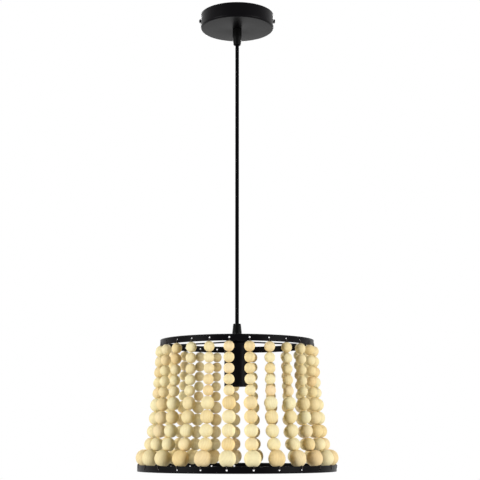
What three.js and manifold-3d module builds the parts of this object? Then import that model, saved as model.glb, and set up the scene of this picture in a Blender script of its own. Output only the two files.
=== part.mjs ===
// A beaded pendant light: a ceiling canopy, a cord, a lampholder in a steel cup, and a shade made of strands
// of wooden beads strung between two punched steel hoops.
// Millimetres, +Z up. The origin is the middle of the ceiling bracket's top face, with the light below it.
// Azimuth 0 is the front, at -Y, and a positive azimuth turns towards +X.

import * as THREE from "three";
import { mergeVertices } from "three/addons/utils/BufferGeometryUtils.js";
import Module from "manifold-3d";

const { degToRad } = THREE.MathUtils;

// Fits
const seatGap = 0.3; // between pieces that rest on each other
const holeGap = 0.5; // radial gap of a fastener, stud or cord in its hole
const cutOverrun = 1; // how far a cutting solid runs past what it cuts

// Ceiling canopy
const canopyDiameter = 120;
const canopyHeight = 24;
const canopyWall = 1.2;
const canopyCorner = 3;

// Ceiling bracket, a strip with both ends folded down
const bracketWidth = 20;
const bracketThickness = 1.6;
const bracketEarHeight = 19;
const bracketEndGap = 1.4; // from the ear to the canopy wall
const bracketSlotWidth = 5.4;
const bracketSlotLength = 24;
const bracketSlotCentre = 34; // from the middle of the strip

// Screws through the canopy wall into the bracket's ears
const canopyScrewDrop = 10; // below the ceiling
const canopyScrewDiameter = 4;
const canopyScrewHeadDiameter = 7;
const canopyScrewHeadHeight = 2.6;
const canopyScrewPoint = 3; // past the ear

// Earth screw on the bracket
const earthScrewDiameter = 3.5;
const earthScrewHeadDiameter = 7;
const earthScrewHeadHeight = 2;
const earthScrewPlace = 12; // from the middle of the strip

// Cord
const cordDiameter = 6;
const cordDrop = 460; // seen between the tips of the two grips
const cordBend = degToRad(20); // the most that the cord bends at a grip
const cordTail = 2; // of the sheath past a grip's stud
const coreDiameter = 1.8;
const coreSpacing = 1.3; // from the cord's middle to each core
const leadReach = 5; // how far a lead runs straight before it turns
const leadSpread = 15; // from the middle of the canopy to the ends of its leads
const leadTipDrop = 1.5; // from the ceiling to the ends of the canopy's leads

// Cord grips, one under the canopy and one on the lampholder cup
const gripLength = 27;
const gripBaseDiameter = 15;
const gripTipDiameter = 12;
const gripBaseStraight = 13;
const gripTipRound = 1.2;
const gripMouthDiameter = 9.2; // the bore flares to this, so that the cord can swing
const gripFlareDepth = 2.4;
const gripStudDiameter = 10;
const gripStudPoint = 1.2; // past the cup's nut
const gripScrewDiameter = 3.2;
const gripScrewHeight = 8; // above the base
const gripScrewHead = 1; // stands out of the grip
const gripScrewSlot = 0.8;

// Nuts on the grips' studs
const nutAcrossFlats = 15;
const nutHeight = 3;

// Hoops, rolled from flat strip and punched for the strands
const hoopBandHeight = 10;
const hoopBandThickness = 1.5;
const topHoopDiameter = 241;
const bottomHoopDiameter = 307;
const hoopHoleDiameter = 2.8;

// Spider that carries the top hoop
const spiderHubDiameter = 36;
const spiderThickness = 2;
const spiderArmWidth = 5;
const spiderArmCount = 3;
const spiderDrop = 0.5; // below the hoop's top edge
const spiderAzimuth = degToRad(-3);

// Bead strands
const strandCount = 25;
const strandAzimuth = degToRad(-5.3);
const smallBeadDiameter = 16;
const mediumBeadDiameter = 20;
const largeBeadDiameter = 25;
const smallBeadCount = 5;
const mediumBeadCount = 4;
const beadMouthDiameter = 4; // of the flat round the bore, where two beads meet
const beadPlay = 0.15; // between two beads, on average
const beadWaistShare = 0.36; // of a bead's radius, from its middle to the two widest rings of facets
const seatedWeightShare = 0.65; // of the large bead's weight, which rests on the bottom hoop
const beadSeatGap = 0.6; // between the large bead and the bottom hoop's edge
const beadSeatAngle = degToRad(35); // from straight below the large bead to where the hoop's edge touches it
const threadWidth = 1;
const threadTail = 0.5; // past the hoop

// Lampholder cup
const cupDiameter = 40;
const cupHeight = 68.6;
const cupWall = 1;
const cupTopDiameter = 26;
const cupShoulderHeight = 7;

// Stirrup that hangs the lampholder from the cup's nut
const stirrupWidth = 12;
const stirrupSpan = 22;
const stirrupThickness = 1.5;
const stirrupFoot = 6;
const stirrupHeight = 22;
const stirrupScrewDiameter = 3;
const stirrupScrewHeadDiameter = 5;
const stirrupScrewHeadHeight = 1.8;
const stirrupScrewBite = 5; // into the lampholder

// Lampholder for an E27 lamp
const holderGap = 1.5; // to the cup all round
const holderDiameter = cupDiameter - 2 * (cupWall + holderGap);
const holderWall = 3;
const holderFloor = 8;
const holderRecess = 2; // above the cup's rim
const shellWall = 0.6;
const shellFlange = 3;
const shellRecess = 1; // above the lampholder's rim
const contactWidth = 6;
const contactLength = 12;
const contactThickness = 0.8;
const contactRise = 3;

// Terminals on top of the lampholder
const terminalWidth = 6;
const terminalDepth = 5;
const terminalHeight = 6;
const terminalInset = 6.5; // from the lampholder's side to a terminal's middle
const terminalPlace = holderDiameter / 2 - terminalInset;
const terminalScrewDiameter = 3;
const terminalScrewHeadDiameter = 4.4;
const terminalScrewHeadHeight = 1.4;

// Fineness of the round pieces
const hoopSides = 2 * strandCount;
const canopySides = 32;
const cupSides = 20;
const gripSides = 12;
const screwSides = 8;
const cordSides = 8;
const cordStep = 15;
const leadSides = 4;
const leadSteps = 5;
const punchSides = 4;
const beadSides = 5;
const cornerArcs = 2;

// Levels, from the ceiling down
const canopyFaceZ = -canopyHeight;
const upperGripBaseZ = canopyFaceZ - seatGap;
const upperGripTipZ = upperGripBaseZ - gripLength;
const lowerGripTipZ = upperGripTipZ - cordDrop;
const lowerGripBaseZ = lowerGripTipZ - gripLength;
const hubTopZ = lowerGripBaseZ - seatGap;
const hubBottomZ = hubTopZ - spiderThickness;
const topHoopZ = hubTopZ + spiderDrop - hoopBandHeight / 2;
const cupTopZ = hubBottomZ - seatGap;
const cupRimZ = cupTopZ - cupHeight;
const stirrupTopZ = cupTopZ - cupWall - seatGap;
const stirrupFootZ = stirrupTopZ - stirrupHeight;
const holderTopZ = stirrupFootZ - seatGap;
const holderRimZ = cupRimZ + holderRecess;

// The stud runs through the hub, the cup, the stirrup and the nut, each a seat gap from the next.
const gripStudLength =
  spiderThickness + cupWall + stirrupThickness + nutHeight + 4 * seatGap + gripStudPoint;
const upperTailZ = upperGripBaseZ + gripStudLength + cordTail;
const lowerTailZ = lowerGripBaseZ - gripStudLength - cordTail;
const upperBendZ = upperGripTipZ + gripFlareDepth;
const lowerBendZ = lowerGripTipZ - gripFlareDepth;
const bendGap = (cordDiameter / 2) * Math.sin(cordBend) + seatGap;

// Finishes
const blackSteel = new THREE.MeshStandardMaterial({ color: 0x19181b, roughness: 0.5, metalness: 0.4 });
const zincSteel = new THREE.MeshStandardMaterial({ color: 0xb4b6b8, roughness: 0.4, metalness: 0.9 });
const blackPlastic = new THREE.MeshStandardMaterial({ color: 0x151517, roughness: 0.45, metalness: 0 });
const blackSheath = new THREE.MeshStandardMaterial({ color: 0x101012, roughness: 0.6, metalness: 0 });
const whitePorcelain = new THREE.MeshStandardMaterial({ color: 0xe9e6df, roughness: 0.3, metalness: 0 });
const brass = new THREE.MeshStandardMaterial({ color: 0xc9a24c, roughness: 0.35, metalness: 1 });
const lightWood = new THREE.MeshStandardMaterial({ color: 0xe8cf99, roughness: 0.65, metalness: 0 });
const brownCore = new THREE.MeshStandardMaterial({ color: 0x5a3420, roughness: 0.5, metalness: 0 });
const blueCore = new THREE.MeshStandardMaterial({ color: 0x2a5fa5, roughness: 0.5, metalness: 0 });
const greenCore = new THREE.MeshStandardMaterial({ color: 0x5f9a3a, roughness: 0.5, metalness: 0 });

const wasm = await Module();
wasm.setup();

const light = new THREE.Group();

function add(name, geometry, material) {
  const mesh = new THREE.Mesh(geometry, material);
  mesh.name = name;
  light.add(mesh);
  return mesh;
}

// A closed geometry as a solid that can be joined and cut.
function solidOf(geometry) {
  const bare = geometry.clone();
  bare.deleteAttribute("normal");
  bare.deleteAttribute("uv");
  const merged = mergeVertices(bare);
  return new wasm.Manifold(
    new wasm.Mesh({
      numProp: 3,
      vertProperties: merged.attributes.position.array,
      triVerts: new Uint32Array(merged.index.array),
    }),
  );
}

function geometryOf(solid) {
  const mesh = solid.getMesh();
  const geometry = new THREE.BufferGeometry();
  geometry.setAttribute("position", new THREE.BufferAttribute(new Float32Array(mesh.vertProperties), 3));
  geometry.setIndex(new THREE.BufferAttribute(new Uint32Array(mesh.triVerts), 1));
  return geometry;
}

function joined(geometries) {
  return geometryOf(geometries.map(solidOf).reduce((all, next) => all.add(next)));
}

function cut(geometry, cutters) {
  return geometryOf(cutters.map(solidOf).reduce((left, cutter) => left.subtract(cutter), solidOf(geometry)));
}

// Revolves [radius, height] points about Z, from the axis at the bottom to the axis at the top.
function revolved(points, sides, startAzimuth = 0) {
  const profile = points.map(([radius, height]) => new THREE.Vector2(radius, height));
  return new THREE.LatheGeometry(profile, sides, startAzimuth).rotateX(Math.PI / 2);
}

// The same for a profile off the axis, which closes on itself, anticlockwise with height up.
function revolvedRing(points, sides, startAzimuth) {
  return revolved([...points, points[0]], sides, startAzimuth);
}

// Points on a quarter of an ellipse, from its widest place to its top.
function quarter(radius, height, acrossRadius, upHeight) {
  const points = [];
  for (let i = 0; i <= cornerArcs; i++) {
    const turn = (i / cornerArcs) * (Math.PI / 2);
    points.push([radius + acrossRadius * Math.cos(turn), height + upHeight * Math.sin(turn)]);
  }
  return points;
}

function rod(diameter, low, high, sides = screwSides) {
  return new THREE.CylinderGeometry(diameter / 2, diameter / 2, high - low, sides)
    .rotateX(Math.PI / 2)
    .translate(0, 0, (low + high) / 2);
}

// A rod between two distances from Z, pointing to an azimuth.
function spoke(diameter, near, far, height, azimuth, sides = screwSides) {
  return new THREE.CylinderGeometry(diameter / 2, diameter / 2, far - near, sides)
    .rotateY(Math.PI / sides)
    .translate(0, -(near + far) / 2, height)
    .rotateZ(azimuth);
}

function box(low, high) {
  const size = high.map((top, i) => top - low[i]);
  const middle = high.map((top, i) => (top + low[i]) / 2);
  return new THREE.BoxGeometry(...size).translate(...middle);
}

// A domed screw whose shank runs down -Z from the underside of the head, which is at height 0.
function domedScrew(diameter, headDiameter, headHeight, length) {
  const dome = quarter(0, 0, headDiameter / 2, headHeight);
  dome[cornerArcs][0] = 0;
  return revolved([[0, -length], [diameter / 2, -length], [diameter / 2, 0], ...dome], screwSides);
}

// A hexagonal nut whose underside is at height 0.
function nut() {
  const hexagon = new THREE.CylinderGeometry(
    nutAcrossFlats / Math.sqrt(3),
    nutAcrossFlats / Math.sqrt(3),
    nutHeight,
    6,
  )
    .rotateX(Math.PI / 2)
    .translate(0, 0, nutHeight / 2);
  return cut(hexagon, [rod(gripStudDiameter + 2 * holeGap, -cutOverrun, nutHeight + cutOverrun, gripSides)]);
}

// A round section with flat sides
function section(diameter, sideCount) {
  const corners = Array.from({ length: sideCount }, (_, i) => {
    const turn = (i / sideCount) * 2 * Math.PI;
    return new THREE.Vector2((diameter / 2) * Math.cos(turn), (diameter / 2) * Math.sin(turn));
  });
  return new THREE.Shape(corners);
}

// A cord's core from start to end. It leaves along startDirection and arrives along endDirection.
function lead(start, startDirection, end, endDirection) {
  const from = new THREE.Vector3(...start);
  const to = new THREE.Vector3(...end);
  const outwards = from.clone().addScaledVector(new THREE.Vector3(...startDirection), leadReach);
  const inwards = to.clone().addScaledVector(new THREE.Vector3(...endDirection), -leadReach);
  const path = new THREE.CubicBezierCurve3(from, outwards, inwards, to);
  return new THREE.ExtrudeGeometry(section(coreDiameter, leadSides), { steps: leadSteps, extrudePath: path });
}

// Canopy

const canopyInner = canopyDiameter / 2 - canopyWall;
const earOutside = canopyInner - bracketEndGap;
const earInside = earOutside - bracketThickness;
const screwHoleDiameter = canopyScrewDiameter + 2 * holeGap;
const sides = [
  ["left", -1],
  ["right", 1],
];

function canopyCover() {
  const outer = canopyDiameter / 2;
  const floor = canopyFaceZ + canopyWall;
  const hole = gripStudDiameter / 2 + holeGap;
  const corner = quarter(outer - canopyCorner, canopyFaceZ + canopyCorner, canopyCorner, -canopyCorner);
  const cup = revolvedRing(
    [
      [hole, canopyFaceZ],
      ...corner.reverse(),
      [outer, 0],
      [canopyInner, 0],
      [canopyInner, floor],
      [hole, floor],
    ],
    canopySides,
  );
  const screwHoles = sides.map(([, side]) =>
    spoke(
      screwHoleDiameter,
      canopyInner - cutOverrun,
      outer + cutOverrun,
      -canopyScrewDrop,
      (side * Math.PI) / 2,
    ),
  );
  return cut(cup, screwHoles);
}

function ceilingBracket() {
  const half = bracketWidth / 2;
  const strip = box([-earOutside, -half, -bracketThickness], [earOutside, half, 0]);
  const ear = box([earInside, -half, -bracketEarHeight], [earOutside, half, -bracketThickness / 2]);
  const folded = joined([strip, ear, ear.clone().rotateZ(Math.PI)]);
  const low = -bracketThickness - cutOverrun;
  const toEnd = (bracketSlotLength - bracketSlotWidth) / 2;
  const cutters = [
    rod(earthScrewDiameter + 2 * holeGap, low, cutOverrun).translate(earthScrewPlace, 0, 0),
  ];
  for (const [, side] of sides) {
    const waist = box([-toEnd, -bracketSlotWidth / 2, low], [toEnd, bracketSlotWidth / 2, cutOverrun]);
    const ends = [-toEnd, toEnd].map((x) => rod(bracketSlotWidth, low, cutOverrun).translate(x, 0, 0));
    cutters.push(joined([waist, ...ends]).translate(side * bracketSlotCentre, 0, 0));
    cutters.push(
      spoke(
        screwHoleDiameter,
        earInside - cutOverrun,
        earOutside + cutOverrun,
        -canopyScrewDrop,
        (side * Math.PI) / 2,
      ),
    );
  }
  return cut(folded, cutters);
}

add("canopy_cover", canopyCover(), blackSteel);
add("ceiling_bracket", ceilingBracket(), zincSteel);
for (const [name, side] of sides) {
  const length = canopyDiameter / 2 + seatGap - earInside + canopyScrewPoint;
  const screw = domedScrew(canopyScrewDiameter, canopyScrewHeadDiameter, canopyScrewHeadHeight, length);
  const mesh = add(`canopy_screw_${name}`, screw, blackSteel);
  mesh.rotation.y = (side * Math.PI) / 2;
  mesh.position.set(side * (canopyDiameter / 2 + seatGap), 0, -canopyScrewDrop);
}
const earthScrew = add(
  "earth_screw",
  domedScrew(earthScrewDiameter, earthScrewHeadDiameter, earthScrewHeadHeight, bracketThickness),
  zincSteel,
);
earthScrew.rotation.x = Math.PI;
earthScrew.position.set(earthScrewPlace, 0, -bracketThickness - seatGap);

// Cord grips, with the base at height 0, the stud below it and the tip above

function cordGrip() {
  const bore = cordDiameter / 2 + holeGap;
  const base = gripBaseDiameter / 2;
  const tip = gripTipDiameter / 2;
  const shoulder = quarter(tip - gripTipRound, gripLength - gripTipRound, gripTipRound, gripTipRound);
  const body = revolvedRing(
    [
      [bore, -gripStudLength],
      [gripStudDiameter / 2, -gripStudLength],
      [gripStudDiameter / 2, 0],
      [base, 0],
      [base, gripBaseStraight],
      ...shoulder.slice(0, cornerArcs),
      [gripMouthDiameter / 2, gripLength],
      [bore, gripLength - gripFlareDepth],
    ],
    gripSides,
  );
  const hole = spoke(
    gripScrewDiameter + 2 * holeGap,
    cordDiameter / 2,
    base + cutOverrun,
    gripScrewHeight,
    0,
    cordSides,
  );
  return cut(body, [hole]);
}

// The slotted screw that clamps the cord in its grip
function gripScrew() {
  const tail = cordDiameter / 2 + seatGap;
  const end = gripBaseDiameter / 2 + gripScrewHead;
  const shank = spoke(gripScrewDiameter, tail, end, gripScrewHeight, 0, cordSides);
  const slot = box(
    [-gripScrewDiameter, -end - cutOverrun, gripScrewHeight - gripScrewSlot / 2],
    [gripScrewDiameter, -end + gripScrewHead, gripScrewHeight + gripScrewSlot / 2],
  );
  return cut(shank, [slot]);
}

// Both grips turn their screws to the back.
for (const [name, makeGeometry] of [
  ["canopy_grip", cordGrip],
  ["canopy_grip_screw", gripScrew],
]) {
  const mesh = add(name, makeGeometry(), blackPlastic);
  mesh.rotation.x = Math.PI;
  mesh.position.z = upperGripBaseZ;
}
for (const [name, makeGeometry] of [
  ["cup_grip", cordGrip],
  ["cup_grip_screw", gripScrew],
]) {
  const mesh = add(name, makeGeometry(), blackPlastic);
  mesh.rotation.z = Math.PI;
  mesh.position.z = lowerGripBaseZ;
}
add("canopy_grip_nut", nut(), zincSteel).position.z = canopyFaceZ + canopyWall + seatGap;
add("cup_grip_nut", nut(), zincSteel).position.z = stirrupTopZ - stirrupThickness - seatGap - nutHeight;

// Cord. It hangs free between the two bends, and its sheath ends past each stud.

function hangingCord() {
  const path = new THREE.LineCurve3(new THREE.Vector3(0, 0, upperBendZ), new THREE.Vector3(0, 0, lowerBendZ));
  const steps = Math.ceil((upperBendZ - lowerBendZ) / cordStep);
  return new THREE.ExtrudeGeometry(section(cordDiameter, cordSides), { steps, extrudePath: path });
}

add("pendant_cord", hangingCord(), blackSheath);
add("canopy_cord_end", rod(cordDiameter, upperBendZ + bendGap, upperTailZ, cordSides), blackSheath);
add("cup_cord_end", rod(cordDiameter, lowerTailZ, lowerBendZ - bendGap, cordSides), blackSheath);

const canopyLeadZ = upperTailZ + seatGap;
const up = [0, 0, 1];
add(
  "canopy_live_lead",
  lead([0, -coreSpacing, canopyLeadZ], up, [0, -leadSpread, -leadTipDrop], up),
  brownCore,
);
add(
  "canopy_neutral_lead",
  lead([0, coreSpacing, canopyLeadZ], up, [0, leadSpread, -leadTipDrop], up),
  blueCore,
);
const earthScrewFaceZ = -bracketThickness - seatGap - earthScrewHeadHeight;
add(
  "canopy_earth_lead",
  lead([coreSpacing, 0, canopyLeadZ], up, [earthScrewPlace, 0, earthScrewFaceZ - seatGap], up),
  greenCore,
);

// Lampholder cup

function lampCup() {
  const outer = cupDiameter / 2;
  const top = cupTopDiameter / 2;
  const hole = gripStudDiameter / 2 + holeGap;
  const shoulderZ = cupTopZ - cupShoulderHeight;
  return revolvedRing(
    [
      [outer - cupWall, cupRimZ],
      [outer, cupRimZ],
      ...quarter(top, shoulderZ, outer - top, cupShoulderHeight),
      [hole, cupTopZ],
      [hole, cupTopZ - cupWall],
      ...quarter(top, shoulderZ, outer - cupWall - top, cupShoulderHeight - cupWall).reverse(),
    ],
    cupSides,
  );
}

function stirrup() {
  const outside = stirrupSpan / 2;
  const inside = outside - stirrupThickness;
  const toe = outside + stirrupFoot;
  const half = [
    [inside, -stirrupThickness],
    [inside, -stirrupHeight],
    [toe, -stirrupHeight],
    [toe, stirrupThickness - stirrupHeight],
    [outside, stirrupThickness - stirrupHeight],
    [outside, 0],
  ];
  const outline = [...half, ...half.map(([x, z]) => [-x, z]).reverse()];
  const shape = new THREE.Shape(outline.map(([x, z]) => new THREE.Vector2(x, z)));
  const strap = new THREE.ExtrudeGeometry(shape, { depth: stirrupWidth, bevelEnabled: false })
    .rotateX(Math.PI / 2)
    .translate(0, stirrupWidth / 2, 0);
  const studHole = rod(
    gripStudDiameter + 2 * holeGap,
    -stirrupThickness - cutOverrun,
    cutOverrun,
    gripSides,
  );
  const screwHoles = sides.map(([, side]) =>
    rod(
      stirrupScrewDiameter + 2 * holeGap,
      -stirrupHeight - cutOverrun,
      stirrupThickness - stirrupHeight + cutOverrun,
    ).translate(side * stirrupScrewPlace, 0, 0),
  );
  return cut(strap, [studHole, ...screwHoles]);
}

function lampholder() {
  const outer = holderDiameter / 2;
  const bore = outer - holderWall;
  const floorZ = holderTopZ - holderFloor;
  const body = revolved(
    [
      [0, floorZ],
      [bore, floorZ],
      [bore, holderRimZ],
      [outer, holderRimZ],
      [outer, holderTopZ],
      [0, holderTopZ],
    ],
    cupSides,
  );
  const screwHoles = sides.map(([, side]) =>
    rod(
      stirrupScrewDiameter + 2 * holeGap,
      holderTopZ - stirrupScrewBite - cutOverrun,
      holderTopZ + cutOverrun,
    ).translate(side * stirrupScrewPlace, 0, 0),
  );
  return cut(body, screwHoles);
}

// The threaded shell, plain here, with a flange that seats on the lampholder's floor
function lampShell() {
  const outer = holderDiameter / 2 - holderWall - seatGap;
  const inner = outer - shellWall;
  const low = holderRimZ + shellRecess;
  const high = holderTopZ - holderFloor - seatGap;
  return revolvedRing(
    [
      [inner, low],
      [outer, low],
      [outer, high],
      [outer - shellFlange, high],
      [outer - shellFlange, high - shellWall],
      [inner, high - shellWall],
    ],
    cupSides,
  );
}

// A bent strip of spring brass under the lampholder's floor
function centreContact() {
  const high = holderTopZ - holderFloor - seatGap;
  const half = contactLength / 2;
  const outline = [
    [-half, high],
    [-half, high - contactThickness],
    [0, high - contactThickness],
    [half, high - contactRise - contactThickness],
    [half, high - contactRise],
    [0, high],
  ];
  const shape = new THREE.Shape(outline.map(([x, z]) => new THREE.Vector2(x, z)));
  return new THREE.ExtrudeGeometry(shape, { depth: contactWidth, bevelEnabled: false })
    .rotateX(Math.PI / 2)
    .translate(0, contactWidth / 2, 0);
}

// A brass terminal with its clamping screw, whose underside is at height 0
function terminal() {
  const block = box(
    [-terminalWidth / 2, -terminalDepth / 2, 0],
    [terminalWidth / 2, terminalDepth / 2, terminalHeight],
  );
  const screw = domedScrew(
    terminalScrewDiameter,
    terminalScrewHeadDiameter,
    terminalScrewHeadHeight,
    terminalHeight / 2,
  );
  return joined([block, screw.translate(0, 0, terminalHeight)]);
}

const stirrupScrewPlace = (stirrupSpan + stirrupFoot) / 2;
add("lamp_cup", lampCup(), blackSteel);
add("stirrup", stirrup(), zincSteel).position.z = stirrupTopZ;
for (const [name, side] of sides) {
  const screw = domedScrew(
    stirrupScrewDiameter,
    stirrupScrewHeadDiameter,
    stirrupScrewHeadHeight,
    stirrupScrewBite,
  );
  const mesh = add(`stirrup_screw_${name}`, screw, zincSteel);
  mesh.position.set(side * stirrupScrewPlace, 0, stirrupFootZ + stirrupThickness + seatGap);
}
add("lampholder", lampholder(), whitePorcelain);
add("lamp_shell", lampShell(), brass);
add("centre_contact", centreContact(), brass);
const terminalZ = holderTopZ + seatGap;
add("live_terminal", terminal(), brass).position.set(0, -terminalPlace, terminalZ);
add("neutral_terminal", terminal(), brass).position.set(0, terminalPlace, terminalZ);

const cupLeadZ = lowerTailZ - seatGap;
const down = [0, 0, -1];
const terminalFace = terminalPlace - terminalDepth / 2 - seatGap;
const terminalMiddleZ = terminalZ + terminalHeight / 2;
add(
  "cup_live_lead",
  lead([0, -coreSpacing, cupLeadZ], down, [0, -terminalFace, terminalMiddleZ], [0, -1, 0]),
  brownCore,
);
add(
  "cup_neutral_lead",
  lead([0, coreSpacing, cupLeadZ], down, [0, terminalFace, terminalMiddleZ], [0, 1, 0]),
  blueCore,
);
add(
  "cup_earth_lead",
  lead(
    [coreSpacing, 0, cupLeadZ],
    down,
    [stirrupSpan / 2 - stirrupThickness - seatGap, 0, terminalMiddleZ],
    [1, 0, 0],
  ),
  greenCore,
);

// Shade

const strandAzimuths = Array.from(
  { length: strandCount },
  (_, i) => strandAzimuth + (i / strandCount) * 2 * Math.PI,
);
const facetShare = Math.cos(Math.PI / hoopSides); // of a hoop's radius, at the middle of a facet

// A hoop at height 0, with a hole in the middle of every second facet
function hoop(diameter) {
  const outer = diameter / 2;
  const inner = outer - hoopBandThickness;
  const edge = hoopBandHeight / 2;
  const strip = revolvedRing(
    [
      [inner, -edge],
      [outer, -edge],
      [outer, edge],
      [inner, edge],
    ],
    hoopSides,
    strandAzimuth + Math.PI / hoopSides,
  );
  const holes = strandAzimuths.map((azimuth) =>
    spoke(hoopHoleDiameter, inner - cutOverrun, outer + cutOverrun, 0, azimuth, punchSides),
  );
  return cut(strip, holes);
}

function topFrame() {
  const hub = rod(spiderHubDiameter, hubBottomZ, hubTopZ, cupSides);
  const armStart = (spiderHubDiameter / 2) * Math.cos(Math.PI / cupSides) - spiderThickness;
  const armEnd = (topHoopDiameter - hoopBandThickness) / 2;
  const arms = [];
  for (let i = 0; i < spiderArmCount; i++) {
    const arm = box(
      [-spiderArmWidth / 2, -armEnd, hubBottomZ],
      [spiderArmWidth / 2, -armStart, hubTopZ],
    );
    arms.push(arm.rotateZ(spiderAzimuth + (i / spiderArmCount) * 2 * Math.PI));
  }
  const frame = joined([hoop(topHoopDiameter).translate(0, 0, topHoopZ), hub, ...arms]);
  const studHole = rod(
    gripStudDiameter + 2 * holeGap,
    hubBottomZ - cutOverrun,
    hubTopZ + cutOverrun,
    gripSides,
  );
  return cut(frame, [studHole]);
}

// Bead diameters, from the top of a strand down
const beads = [
  ...Array(smallBeadCount).fill(smallBeadDiameter),
  ...Array(mediumBeadCount).fill(mediumBeadDiameter),
  largeBeadDiameter,
];

// How far a bead's flat mouth is from its middle
function mouthReach(diameter) {
  return Math.sqrt(diameter ** 2 - beadMouthDiameter ** 2) / 2;
}

// A strand hangs as a chain: each link leans outwards by the hoop's pull over the weight that hangs below it.
// Weights and the pull are in small beads.
function hangingBeads(pull) {
  const weights = beads.map((diameter) => (diameter / smallBeadDiameter) ** 3);
  let below = weights.reduce((sum, weight) => sum + weight) - seatedWeightShare * weights.at(-1);
  let radius = topHoopDiameter / 2;
  let height = topHoopZ - hoopBandHeight / 2 - seatGap - mouthReach(beads[0]);
  return beads.map((diameter, i) => {
    const lean = Math.atan2(pull, below);
    if (i > 0) {
      const link = (beads[i - 1] + diameter) / 2 + beadPlay;
      radius += link * Math.sin(lean);
      height -= link * Math.cos(lean);
    }
    below -= weights[i];
    return { diameter, radius, height, leanAbove: i > 0 ? lean : 0 };
  });
}

// The pull that brings the large bead to its seat inside the bottom hoop's upper edge, by halving
const seatReach = largeBeadDiameter / 2 + beadSeatGap;
const seatRadius = bottomHoopDiameter / 2 - hoopBandThickness - seatReach * Math.sin(beadSeatAngle);

function settledBeads() {
  let [weakest, strongest] = [0, beads.length];
  for (let i = 0; i < 50; i++) {
    const pull = (weakest + strongest) / 2;
    if (hangingBeads(pull).at(-1).radius < seatRadius) weakest = pull;
    else strongest = pull;
  }
  return hangingBeads(weakest);
}

const strandBeads = settledBeads();
const bottomHoopZ =
  strandBeads.at(-1).height - seatReach * Math.cos(beadSeatAngle) - hoopBandHeight / 2;

// Rings of facets down a strand, each square to a direction that leans outwards from straight down.
// The thread comes out of the top hoop's hole, runs down through the beads and into the bottom hoop's hole.
function strandRings() {
  const beside = seatGap + threadWidth / 2;
  const inHole = (hoopHoleDiameter / 2) * Math.cos(Math.PI / punchSides) - beside;
  const topThreadRadius = topHoopDiameter / 2 + beside;
  const bottomThreadRadius = (bottomHoopDiameter / 2 - hoopBandThickness) * facetShare - beside;
  const [first, last] = [strandBeads[0], strandBeads.at(-1)];
  const [across, mitre] = [Math.PI / 2, Math.PI / 4];
  const rings = [
    [topHoopDiameter / 2 - hoopBandThickness - threadTail, topHoopZ - inHole, across, threadWidth],
    [topThreadRadius, topHoopZ - inHole, mitre, threadWidth],
    [topThreadRadius, first.height + mouthReach(first.diameter), 0, threadWidth],
  ];
  strandBeads.forEach((bead, i) => {
    const leanBelow = i + 1 < strandBeads.length ? strandBeads[i + 1].leanAbove : bead.leanAbove;
    const lean = (bead.leanAbove + leanBelow) / 2;
    const waist = (beadWaistShare * bead.diameter) / 2;
    const along = (distance, direction, width) => [
      bead.radius + distance * Math.sin(direction),
      bead.height - distance * Math.cos(direction),
      direction,
      width,
    ];
    rings.push(along(-waist, lean, bead.diameter), along(waist, lean, bead.diameter));
    if (bead !== last) rings.push(along((bead.diameter + beadPlay) / 2, leanBelow, beadMouthDiameter));
  });
  const mouthHeight = last.height - mouthReach(last.diameter) / Math.cos(last.leanAbove);
  const aside = (bottomThreadRadius - last.radius) * Math.tan(last.leanAbove);
  rings.push(
    [bottomThreadRadius, mouthHeight + aside, last.leanAbove, threadWidth],
    [bottomThreadRadius, bottomHoopZ + inHole, mitre, threadWidth],
    [bottomHoopDiameter / 2 + threadTail, bottomHoopZ + inHole, across, threadWidth],
  );
  return rings;
}

// Skins the rings, each turned half a facet from the last, and closes both ends. One corner of the last bead
// points straight outwards, so that the shade is as wide as it is with round beads.
function strand() {
  const rings = strandRings();
  const outmost = rings.length - 4; // the last bead's lower wide ring, with the thread's three after it
  const corners = rings.flatMap(([radius, height, lean, width], ringIndex) =>
    Array.from({ length: beadSides }, (_, i) => {
      const turn = ((i + (ringIndex - outmost) / 2) / beadSides) * 2 * Math.PI;
      const outwards = (width / 2) * Math.cos(turn);
      return new THREE.Vector3(
        (-width / 2) * Math.sin(turn),
        -(radius + outwards * Math.cos(lean)),
        height + outwards * Math.sin(lean),
      );
    }),
  );
  const faces = [];
  const last = corners.length - beadSides;
  for (let start = 0; start < last; start += beadSides) {
    for (let i = 0; i < beadSides; i++) {
      const here = start + i;
      const next = start + ((i + 1) % beadSides);
      faces.push(here, next, here + beadSides, next, next + beadSides, here + beadSides);
    }
  }
  for (let i = 1; i + 1 < beadSides; i++) {
    faces.push(0, i + 1, i);
    faces.push(last, last + i, last + i + 1);
  }
  return new THREE.BufferGeometry().setFromPoints(corners).setIndex(faces);
}

add("top_frame", topFrame(), blackSteel);
add("bottom_hoop", hoop(bottomHoopDiameter), blackSteel).position.z = bottomHoopZ;
const strandGeometry = strand();
strandAzimuths.forEach((azimuth, i) => {
  const mesh = add(`bead_strand_${String(i + 1).padStart(2, "0")}`, strandGeometry, lightWood);
  mesh.rotation.z = azimuth;
});

export default light;
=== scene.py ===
# Beaded pendant light: canopy, cord, lampholder in a steel cup, and strands of turned wooden beads
# strung between two punched hoops. Shapes are made in millimetres and turned to metres in piece().

import math
import random

import bmesh
import bpy
from mathutils import Matrix, Vector
from mathutils.geometry import interpolate_bezier


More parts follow.
